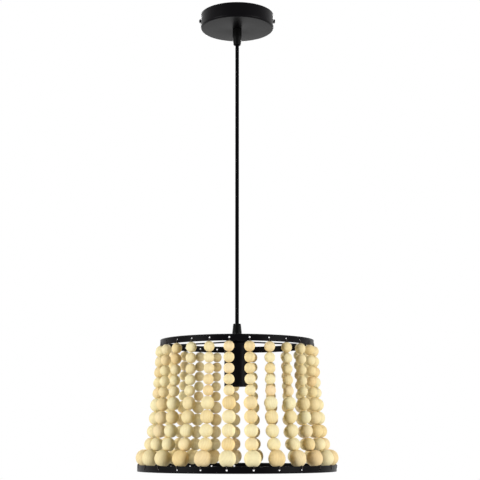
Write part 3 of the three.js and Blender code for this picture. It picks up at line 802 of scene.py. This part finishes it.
shellSettings = {
    "wall": 0.4, "depth": 0.85, "pitch": 3.62, "ease": 3, "flange": 3, "rowsPerTurn": 14,
    "clearance": 0.02, "flangeWallShare": 1.4,
}


# The brass shell, rolled to the lamp's round thread
def lampShell():
    size = shellSettings
    (low, high), outer, wall = levels("lamp_shell"), span("lamp_shell")[1].x, size["wall"]
    rows = round((high - low) / size["pitch"] * size["rowsPerTurn"])
    ledge = outer - size["flange"]
    flange = [(ledge, high), (ledge, high - wall * size["flangeWallShare"])]

    def profileAt(angle):
        outside = []
        for row in range(rows + 1):
            height = low + (high - low) * row / rows
            ease = min(1, (height - low) / size["ease"], (high - height) / size["ease"])
            wave = math.cos(fullTurn * height / size["pitch"] - angle)
            dip = size["depth"] * (1 - wave) * ease
            outside.append((outer - dip - size["clearance"], height))
        inside = [(r - wall, z) for r, z in outside[: -size["rowsPerTurn"] // 4]]
        return [*outside, *flange, *reversed(inside)]

    return turned(profileAt, count=72)


contactSettings = {
    "width": 6, "length": 12, "thickness": 0.8, "rise": 3, "bend": 6,
    "rootEdge": 0.2, "tipEdge": 0.3,
}
rivetSettings = {"radius": 1.5, "height": 0.7, "rounding": 0.6, "sunk": 0.1, "fromEnd": 2.6}


def centreContact():
    size, rivet = contactSettings, rivetSettings
    half, thick, rise = size["length"] / 2, size["thickness"], size["rise"]
    corners = [
        (-half, 0, size["rootEdge"]),
        (-half, -thick, size["rootEdge"]),
        (0, -thick, size["bend"]),
        (half, -rise - thick, size["tipEdge"]),
        (half, -rise, size["tipEdge"]),
        (0, 0, size["bend"] - thick),
    ]
    low, high, radius = -thick - rivet["height"], -rivet["sunk"], rivet["radius"]
    section = [(0, low, 0), (radius, low, rivet["rounding"]), (radius, high, 0), (0, high, 0)]
    head = placed(turned(softened(section), count=32), (rivet["fromEnd"] - half, 0, 0))
    strip = foldedStrip(corners, size["width"])
    return placed(merged([strip, head]), (0, 0, levels("centre_contact")[1]))


terminalSettings = {
    "width": 6, "depth": 5, "height": 6, "corner": 0.4, "edge": 0.3,
    "screwLength": 2, "slotTurn": 0.8,
}


def terminal(node):
    size = terminalSettings
    corners = [(x, y, size["corner"]) for x, y in rectangle(size["width"] / 2, size["depth"] / 2)]
    block = plate([softened(corners, arcs=3)], 0, size["height"], size["edge"])
    screw = slottedScrew("terminal", size["screwLength"], size["slotTurn"])
    low, high = span(node)
    whole = merged([block, placed(screw, (0, 0, size["height"]))])
    return placed(whole, (0, (low.y + high.y) / 2, low.z))


piece("lamp_cup", lampCup(), blackSteel, "socket")
piece("stirrup", stirrup(), zincSteel, "socket")
for name, side in sides:
    node = f"stirrup_screw_{name}"
    low, high = levels(node)
    seat = high - screwSettings["stirrup"]["headHeight"]
    screw = slottedScrew("stirrup", seat - low, side * stirrupSettings["slotTurn"])
    piece(node, placed(screw, (side * holderSettings["screwPlace"], 0, seat)), zincSteel, "socket")
piece("lampholder", lampholder(), whitePorcelain, "socket")
piece("lamp_shell", lampShell(), brass, "socket", sharp=60)
piece("centre_contact", centreContact(), brass, "socket")
for node in ("live_terminal", "neutral_terminal"):
    piece(node, terminal(node), brass, "socket")

leadSettings = {
    "radius": 0.9, "copper": 0.5, "bareShare": 0.14, "reach": 5, "steps": 28, "spacing": 1.3,
    "sides": 12, "stripeSides": 5, "supply": (15, -1.5),  # where the supply's wires join
}


# A core from start to end, leaving and arriving along two directions, with its end stripped to the copper
def lead(start, startWay, end, endWay, striped):
    size = leadSettings
    start, end, bareFrom = Vector(start), Vector(end), 1 - size["bareShare"]
    first, last = start + Vector(startWay) * size["reach"], end - Vector(endWay) * size["reach"]
    path = interpolate_bezier(start, first, last, end, size["steps"] + 1)

    def radiusAt(share):
        return size["copper"] if share > bareFrom else size["radius"]

    def finishAt(side, share):
        if share > bareFrom:
            return 1
        return 2 if striped and side < size["stripeSides"] else 0

    return tube(path, radiusAt, size["sides"], finishAt)


up, down = (0, 0, 1), (0, 0, -1)
spacing, (supplyPlace, supplyLevel) = leadSettings["spacing"], leadSettings["supply"]
tailUp, tailDown = levels("canopy_cord_end")[1] + seatGap, levels("cup_cord_end")[0] - seatGap
earthHead = earthSeat.z - screwSettings["earth"]["headHeight"] - seatGap
terminalMiddle = levels("live_terminal")[0] + terminalSettings["height"] / 2
terminalFace = span("neutral_terminal")[0].y - seatGap
stirrupInside = stirrupSettings["span"] / 2 - stirrupSettings["thickness"] - seatGap
leadRuns = {
    "canopy_live": ((0, -spacing, tailUp), up, (0, -supplyPlace, supplyLevel), up),
    "canopy_neutral": ((0, spacing, tailUp), up, (0, supplyPlace, supplyLevel), up),
    "canopy_earth": ((spacing, 0, tailUp), up, (earthSeat.x, 0, earthHead), up),
    "cup_live": ((0, -spacing, tailDown), down, (0, -terminalFace, terminalMiddle), (0, -1, 0)),
    "cup_neutral": ((0, spacing, tailDown), down, (0, terminalFace, terminalMiddle), (0, 1, 0)),
    "cup_earth": ((spacing, 0, tailDown), down, (stirrupInside, 0, terminalMiddle), (1, 0, 0)),
}
for name, run in leadRuns.items():
    place, core = name.split("_")
    body = "ceiling" if place == "canopy" else "socket"
    piece(name + "_lead", lead(*run, striped=core == "earth"), coreFinishes[core], body, sharp=50)
print("lampholder made")

# Hoops and the spider

hoopSettings = {
    "height": 10, "thickness": 1.5, "edge": 0.35, "topDiameter": 241, "bottomDiameter": 307,
    "count": 25, "azimuth": -5.3, "hole": 1.4, "burr": 0.12, "rimBand": 0.4,
    "patchSteps": 8, "bandSteps": 6, "edgeSteps": 3, "ringShares": (0.3, 0.6, 1), "joinReach": 0.002,
}
topHoopLevel = hoopLow + hoopSettings["height"] / 2
bottomHoopLevel = (bottomHoopLow + bottomHoopHigh) / 2


def azimuthOf(i):  # of the strand and of its holes in the hoops
    return math.radians(hoopSettings["azimuth"]) + fullTurn * i / hoopSettings["count"]


# A hoop of flat strip with softened edges and a punched hole for each strand. Each hole has a square patch
# round it, and the strip between two patches is a plain band.
def punchedHoop(diameter, level):
    size = hoopSettings
    outer, half = diameter / 2, size["height"] / 2 - size["edge"]
    inner, cell = outer - size["thickness"], math.pi * diameter / size["count"]
    rim, steps = size["hole"] + size["burr"], size["patchSteps"]
    marks = [2 * half * i / steps - half for i in range(steps + 1)]
    square = [(mark, -half) for mark in marks[:-1]] + [(half, mark) for mark in marks[:-1]]
    square += [(-x, -y) for x, y in square]
    turns = [math.atan2(y, x) for x, y in square]
    stations = [half + (cell - 2 * half) * i / size["bandSteps"] for i in range(size["bandSteps"] + 1)]

    def ring(radius, distance):
        return [(radius * math.cos(turn), radius * math.sin(turn), distance) for turn in turns]

    # skins of one hole's stretch, with points as (along the strip, height, distance from the hoop's axis)
    bore = [(rim, outer), (size["hole"], outer - size["burr"])]
    bore += [(radius, inner + outer - distance) for radius, distance in reversed(bore)]
    skins = [woven([ring(*spot) for spot in bore])]
    for distance in (outer, inner):
        rings = [ring(rim, distance), ring(rim + size["rimBand"], distance)]
        ends = [Vector((x, y, distance)) for x, y in square]
        for share in size["ringShares"]:
            rings.append([Vector(start).lerp(end, share) for start, end in zip(rings[1], ends)])
        skins.append(woven(rings))
        skins.append(woven([[(station, mark, distance) for mark in marks] for station in stations], False))
    edge = arc(outer - size["edge"], half, size["edge"], size["edge"], 0, quarterTurn, size["edgeSteps"])
    edge += [(inner + outer - distance, height) for distance, height in reversed(edge)]
    for side in (1, -1):
        brim = marks + stations[1:]
        rows = [[(along, side * height, distance) for along in brim] for distance, height in edge]
        skins.append(woven(rows, False))

    vertices, faces = [], []
    for centre in map(azimuthOf, range(size["count"])):
        for points, quads in skins:
            faces += [[len(vertices) + k for k in quad] for quad in quads]
            for along, height, distance in points:
                turn = centre + along / outer
                vertices.append((distance * math.sin(turn), -distance * math.cos(turn), level + height))
    return tidied(meshOf(vertices, faces), size["joinReach"])


spiderSettings = {
    "hub": 18, "hole": 5.5, "thickness": 2, "arms": 3, "armWidth": 5, "inner": 5, "azimuth": -3,
    "intoHoop": 0.3, "filletSteps": 8, "hubSteps": 16,
}
weldSettings = {
    "radius": 0.9, "length": 4.4, "fromEnd": 0.5, "aside": 0.2, "sunkShare": 0.2, "steps": 20,
    "swell": (0.1, 0.95), "swellShare": 0.65, "leastShare": 0.35, "rippleShare": 0.06, "ripples": 44,
}
hubTop = cupTop + seatGap + spiderSettings["thickness"]


def weldRadius(share):  # it swells from a thin start, and ripples
    size = weldSettings
    start, end = size["swell"]
    swell = math.sin(math.pi * (start + (end - start) * share)) ** 0.5
    ripple = math.cos(size["ripples"] * share)
    return size["radius"] * (size["leastShare"] + size["swellShare"] * swell + size["rippleShare"] * ripple)


# Hub and arms, cut from one sheet, with the corners between arm and hub left round
def spider():
    size, weld = spiderSettings, weldSettings
    hub, half, fillet = size["hub"], size["armWidth"] / 2, size["inner"]
    end = hoopSettings["topDiameter"] / 2 - hoopSettings["thickness"] + size["intoHoop"]
    reach = math.sqrt((hub + fillet) ** 2 - (half + fillet) ** 2)
    lean = math.atan2(half + fillet, reach)  # from an arm to the middle of its corner
    between = fullTurn / size["arms"]
    corner = arc(half + fillet, reach, -fillet, -fillet, quarterTurn - lean, 0, size["filletSteps"])
    start, stop = quarterTurn + lean, quarterTurn + between - lean
    toNext = arc(0, 0, hub, hub, start, stop, size["hubSteps"])[1:-1]
    arm = mirrored([*corner, (half, end)]) + toNext
    outline, parts = [], []
    for i in range(size["arms"]):
        turn = math.radians(size["azimuth"]) + between * i + halfTurn
        outline += [Matrix.Rotation(turn, 2) @ Vector(point) for point in arm]
        for side in (-1, 1):
            start = Vector((side * (half + weld["aside"]), end - weld["fromEnd"], 0))
            start.z = -size["thickness"] * weld["sunkShare"]
            way = Vector((0, -weld["length"] / weld["steps"], 0))
            seam = tube([start + way * k for k in range(weld["steps"] + 1)], weldRadius)
            parts.append(placed(seam, turn=turn))
    thick = size["thickness"] / 2
    parts.append(plate([outline, circle(size["hole"])], -thick, thick))
    return placed(merged(parts), (0, 0, hubTop - thick))


topFrame = merged([punchedHoop(hoopSettings["topDiameter"], topHoopLevel), spider()])
piece("top_frame", topFrame, flatBlackSteel, "shade")
bottomHoop = punchedHoop(hoopSettings["bottomDiameter"], bottomHoopLevel)
piece("bottom_hoop", bottomHoop, flatBlackSteel, "shade")
print("hoops made")

# Bead strands

beadSettings = {
    "sizes": [16] * 5 + [20] * 4 + [25], "sides": 32, "rows": 15, "play": 0.15,
    "mouth": 2, "bore": 1.25, "lip": 0.25, "mouthEdge": 0.2, "thread": 0.45, "threadSides": 8,
    "seatShare": 0.65, "seatGap": 0.6, "seatAngle": 35,  # share of its weight on the hoop
}
spreads = {
    "width": 0.02, "tilt": 5, "drift": 0.35, "fullness": (0.93, 1), "driftRate": (0.3, 0.7),
    "acrossShare": 0.45, "acrossGrain": (70, 110), "alongGrain": (-18, 18), "turn": (0, 6.3),
    "fromPith": (12, 60), "alongTrunk": (0, 400),
    "lightness": (0.15, 1, 0.85), "warmth": (0.02, 0.14), "figure": (0.02, 0.12), "seed": 24,
}


# A strand hangs as a chain: each link leans by the hoop's pull over the weight that hangs below it.
def hangingBeads(pull):
    sizes = beadSettings["sizes"]
    weights = [(size / sizes[0]) ** 3 for size in sizes]
    below = sum(weights) - beadSettings["seatShare"] * weights[-1]
    radius = hoopSettings["topDiameter"] / 2
    height = hoopLow - seatGap - math.sqrt((sizes[0] / 2) ** 2 - beadSettings["mouth"] ** 2)
    beads = []
    for i, size in enumerate(sizes):
        lean = math.atan2(pull, below) if i else 0
        if i:
            link = (sizes[i - 1] + size) / 2 + beadSettings["play"]
            radius += link * math.sin(lean)
            height -= link * math.cos(lean)
        below -= weights[i]
        beads.append({"size": size, "radius": radius, "height": height, "lean": lean})
    return beads


# The pull that brings the last bead onto the bottom hoop's edge is found by halving
def settledBeads():
    seat = beadSettings["sizes"][-1] / 2 + beadSettings["seatGap"]
    hoop = hoopSettings["bottomDiameter"] / 2 - hoopSettings["thickness"]
    target = hoop - seat * math.sin(math.radians(beadSettings["seatAngle"]))
    weakest, strongest, halvings = 0, 10, 50
    for _ in range(halvings):
        pull = (weakest + strongest) / 2
        if hangingBeads(pull)[-1]["radius"] < target:
            weakest = pull
        else:
            strongest = pull
    return hangingBeads(weakest)


# One bead as (radius, height), from the bore round the outside and back
def beadProfile(diameter, fullness, widening):
    size = beadSettings
    radius, rows = diameter / 2, size["rows"]
    top = math.sqrt(radius**2 - size["mouth"] ** 2)
    outside = []
    for row in range(1, rows):
        turn = math.asin(top / radius) * (2 * row / rows - 1)
        outside.append((radius * math.cos(turn) ** fullness, radius * math.sin(turn)))
    ends = [(size["bore"], size["lip"] - top), (size["bore"] + size["lip"], -top)]
    ends.append((size["mouth"] - size["mouthEdge"], -top))
    return [(r * widening, z) for r, z in ends + outside + [(r, -z) for r, z in reversed(ends)]]


# The thread's path in a strand's own plane, as (radius, height): a loop round the lower edge of the top hoop,
# and at the other end one round the upper edge of the bottom hoop. Its points are given one by one.
def threadLoops(beads):
    first, last, thick = beads[0], beads[-1], beadSettings["thread"]
    outer = hoopSettings["topDiameter"] / 2
    inner = outer - hoopSettings["thickness"]
    middle, mouth = first["radius"], first["height"] + first["size"] / 2
    hole = topHoopLevel - hoopSettings["hole"] + thick
    top = [
        (middle + 0.5, first["height"] + 3),
        (middle + 0.5, mouth - 0.5),
        (outer + thick + 0.2, hoopLow + 0.6),
        (outer + thick + 0.15, hole - 1),
        (outer + thick * 0.6, hole),
        (inner - thick * 0.6, hole),
        (inner - thick - 0.15, hole - 1),
        (inner - thick - 0.2, hoopLow + 0.6),
        (middle - 0.6, mouth - 0.5),
        (middle - 0.5, first["height"] + 3),
    ]
    outer = hoopSettings["bottomDiameter"] / 2
    inner, rim = outer - hoopSettings["thickness"], bottomHoopHigh
    hole = bottomHoopLevel + hoopSettings["hole"] - thick
    c, s = math.cos(last["lean"]), math.sin(last["lean"])
    deep, mouth = [(last["radius"] + d * s, last["height"] - d * c) for d in (5, last["size"] / 2)]
    bottom = [
        deep,
        mouth,
        (inner - thick - 0.15, rim - 1.6),
        (inner - thick - 0.1, hole + 1),
        (inner - thick * 0.6, hole),
        (outer + thick * 0.6, hole),
        (outer + thick + 0.1, hole + 1),
        (outer + thick + 0.1, rim - 0.6),
        (outer - 0.3, rim + thick + 0.1),
        (inner - 0.6, rim + 0.2),
        mouth,
        deep,
    ]
    return [top, bottom]


# A smooth line through points, by Catmull-Rom
def smoothed(points, steps=4):
    points = [Vector(p) for p in points]
    padded = [points[0] * 2 - points[1], *points, points[-1] * 2 - points[-2]]
    line = []
    for a, b, c, d in zip(padded, padded[1:], padded[2:], padded[3:]):
        for step in range(steps):
            t = step / steps
            bend = (2 * a - 5 * b + 4 * c - d) * t**2 + (3 * b - 3 * c + d - a) * t**3
            line.append(0.5 * (2 * b + (c - a) * t + bend))
    return [*line, points[-1]]


def strand(azimuth, chance):
    size, beads = beadSettings, settledBeads()
    vertices, faces, finishes, points, tones = [], [], [], [], []

    def take(shape, stance, finish, block, tone):
        faces.extend(tuple(len(vertices) + k for k in face.vertices) for face in shape.polygons)
        finishes.extend([finish] * len(shape.polygons))
        vertices.extend(stance @ vertex.co for vertex in shape.vertices)
        points.extend(block @ vertex.co for vertex in shape.vertices)
        tones.extend([tone] * len(shape.vertices))
        bpy.data.meshes.remove(shape)

    def within(name):  # a chance value within one of the spreads
        return chance.uniform(*spreads[name])

    turnToPlace = Matrix.Rotation(azimuth, 4, "Z")
    driftStart, driftRate = within("turn"), within("driftRate")
    for i, bead in enumerate(beads):
        leanBelow = beads[min(i + 1, len(beads) - 1)]["lean"]
        widening = 1 + chance.uniform(-spreads["width"], spreads["width"])
        fullness = within("fullness")
        tilt = [math.radians(chance.uniform(-1, 1) * spreads["tilt"]) for _ in range(2)]
        drift = spreads["drift"] * (math.sin(driftStart + driftRate * i) + chance.uniform(-0.5, 0.5))
        if bead is beads[-1]:
            widening, drift = min(widening, 1), 0
        stance = turnToPlace @ Matrix.Translation((drift, -bead["radius"], bead["height"]))
        stance @= Matrix.Rotation(tilt[0] - (bead["lean"] + leanBelow) / 2, 4, "X")
        stance @= Matrix.Rotation(tilt[1], 4, "Y") @ Matrix.Rotation(within("turn"), 4, "Z")
        across = chance.random() < spreads["acrossShare"]  # bored across the grain in place of along it
        grain = Matrix.Rotation(math.radians(within("acrossGrain" if across else "alongGrain")), 4, "X")
        block = Matrix.Translation((within("fromPith"), 0, within("alongTrunk"))) @ grain
        lightness, warmth = chance.triangular(*spreads["lightness"]), chance.gauss(*spreads["warmth"])
        tone = Vector((lightness, max(0, warmth), within("figure")))
        shape = turned(beadProfile(bead["size"], fullness, widening), size["sides"])
        take(shape, stance, 0, block, tone)
    for loop in threadLoops(beads):
        path = [(0, -radius, height) for radius, height in smoothed(loop)]
        thread = tube(path, lambda share: size["thread"], size["threadSides"])
        take(thread, turnToPlace, 1, Matrix.Scale(0, 4), Vector())
    mesh = meshOf(vertices, faces, finishes)
    for name, values in (("beadPoint", points), ("beadTone", tones)):
        layer = mesh.attributes.new(name, "FLOAT_VECTOR", "POINT")
        layer.data.foreach_set("vector", [c for value in values for c in value])
    return mesh


chance = random.Random(spreads["seed"])
for i in range(hoopSettings["count"]):
    piece(f"bead_strand_{i + 1:02d}", strand(azimuthOf(i), chance), beadsOnThread, "shade", sharp=50)
print("strands made:", hoopSettings["count"])

# Studio: a pale floor far below, a broad lamp at each side, one high behind, and a white surround


# 1 for a ray that shows the background itself: from the camera, off gloss or through glass
def showing(owner):
    seen, rays = 0, addNode(owner, "LightPath", {}).node.outputs
    for ray in ("Is Camera Ray", "Is Glossy Ray", "Is Transmission Ray"):
        seen = addNode(owner, "Math", {"operation": "MAXIMUM", 0: seen, 1: rays[ray]})
    return seen


def studioFloor():
    floor = {"size": 12000, "level": -3000, "colour": "#a9a8a5", "grain": 40}
    white = {"colour": "#ffffff", "nearShare": 0.9, "farShare": 1, "near": 1500, "far": 5500}
    half = floor["size"] / 2 / metre
    mesh = bpy.data.meshes.new("studioFloor")
    mesh.from_pydata([(x, y, 0) for x, y in rectangle(half, half)], [], [(0, 1, 2, 3)])
    paint = newMaterial("paintedFloor")
    place = addNode(paint, "TexCoord", {}, "Object")
    grain = addNode(paint, "TexNoise", {"Vector": place, "Scale": per(floor["grain"]), "Detail": 3})
    tone = addNode(paint, "MapRange", {"Value": grain, "To Min": 0.97, "To Max": 1.02})
    colour = addNode(paint, "HueSaturation", {"Color": floor["colour"], "Value": tone})
    surfaced(paint, {"Base Color": colour, "Roughness": 0.8})
    away = addNode(paint, "VectorMath", {"operation": "LENGTH", 0: place}, "Value")
    reach = {"From Min": white["near"] / metre, "From Max": white["far"] / metre}
    shares = {"To Min": white["nearShare"], "To Max": white["farShare"]}
    fade = addNode(paint, "MapRange", {"Value": away, **reach, **shares})
    share = addNode(paint, "Math", {"operation": "MULTIPLY", 0: showing(paint), 1: fade})
    glow = addNode(paint, "Emission", {"Color": white["colour"], "Strength": 1})
    nodes = paint.node_tree.nodes
    both = addNode(paint, "MixShader", {0: share, 1: nodes["Principled BSDF"].outputs[0], 2: glow})
    setNode(paint, nodes["Material Output"], {"Surface": both})
    mesh.materials.append(paint)
    made = added("studioFloor", mesh)
    made.location.z = floor["level"] / metre


lamps = {
    "leftLamp": {"place": (-1820, -1180, -500), "size": 1300, "power": 48},
    "rightLamp": {"place": (1820, -1180, -500), "size": 1300, "power": 48},
    "backLamp": {"place": (0, 2000, 1000), "size": 1500, "power": 48},
}
lampAim = (0, 0, -500)


def studioLamp(name, settings):
    lamp = bpy.data.lights.new(name, "AREA")
    lamp.shape, lamp.size, lamp.energy = "DISK", settings["size"] / metre, settings["power"]
    made = added(name, lamp)
    made.location = Vector(settings["place"]) / metre
    aim = Vector(lampAim) / metre - made.location
    made.rotation_euler = aim.to_track_quat("-Z", "Y").to_euler()


def studioWorld():
    surround = {"seen": "#ffffff", "light": "#fff0dc", "strength": 0.02}
    world = bpy.data.worlds.new("studio")
    scene.world = world
    world.use_nodes = True
    nodes = world.node_tree.nodes
    setNode(world, nodes["Background"], {"Color": surround["light"], "Strength": surround["strength"]})
    white = addNode(world, "Background", {"Color": surround["seen"], "Strength": 1})
    both = addNode(world, "MixShader", {0: showing(world), 1: nodes["Background"].outputs[0], 2: white})
    setNode(world, nodes["World Output"], {"Surface": both})


studioFloor()
for name, settings in lamps.items():
    studioLamp(name, settings)
studioWorld()
scene.view_settings.view_transform = "Standard"
print("studio set")
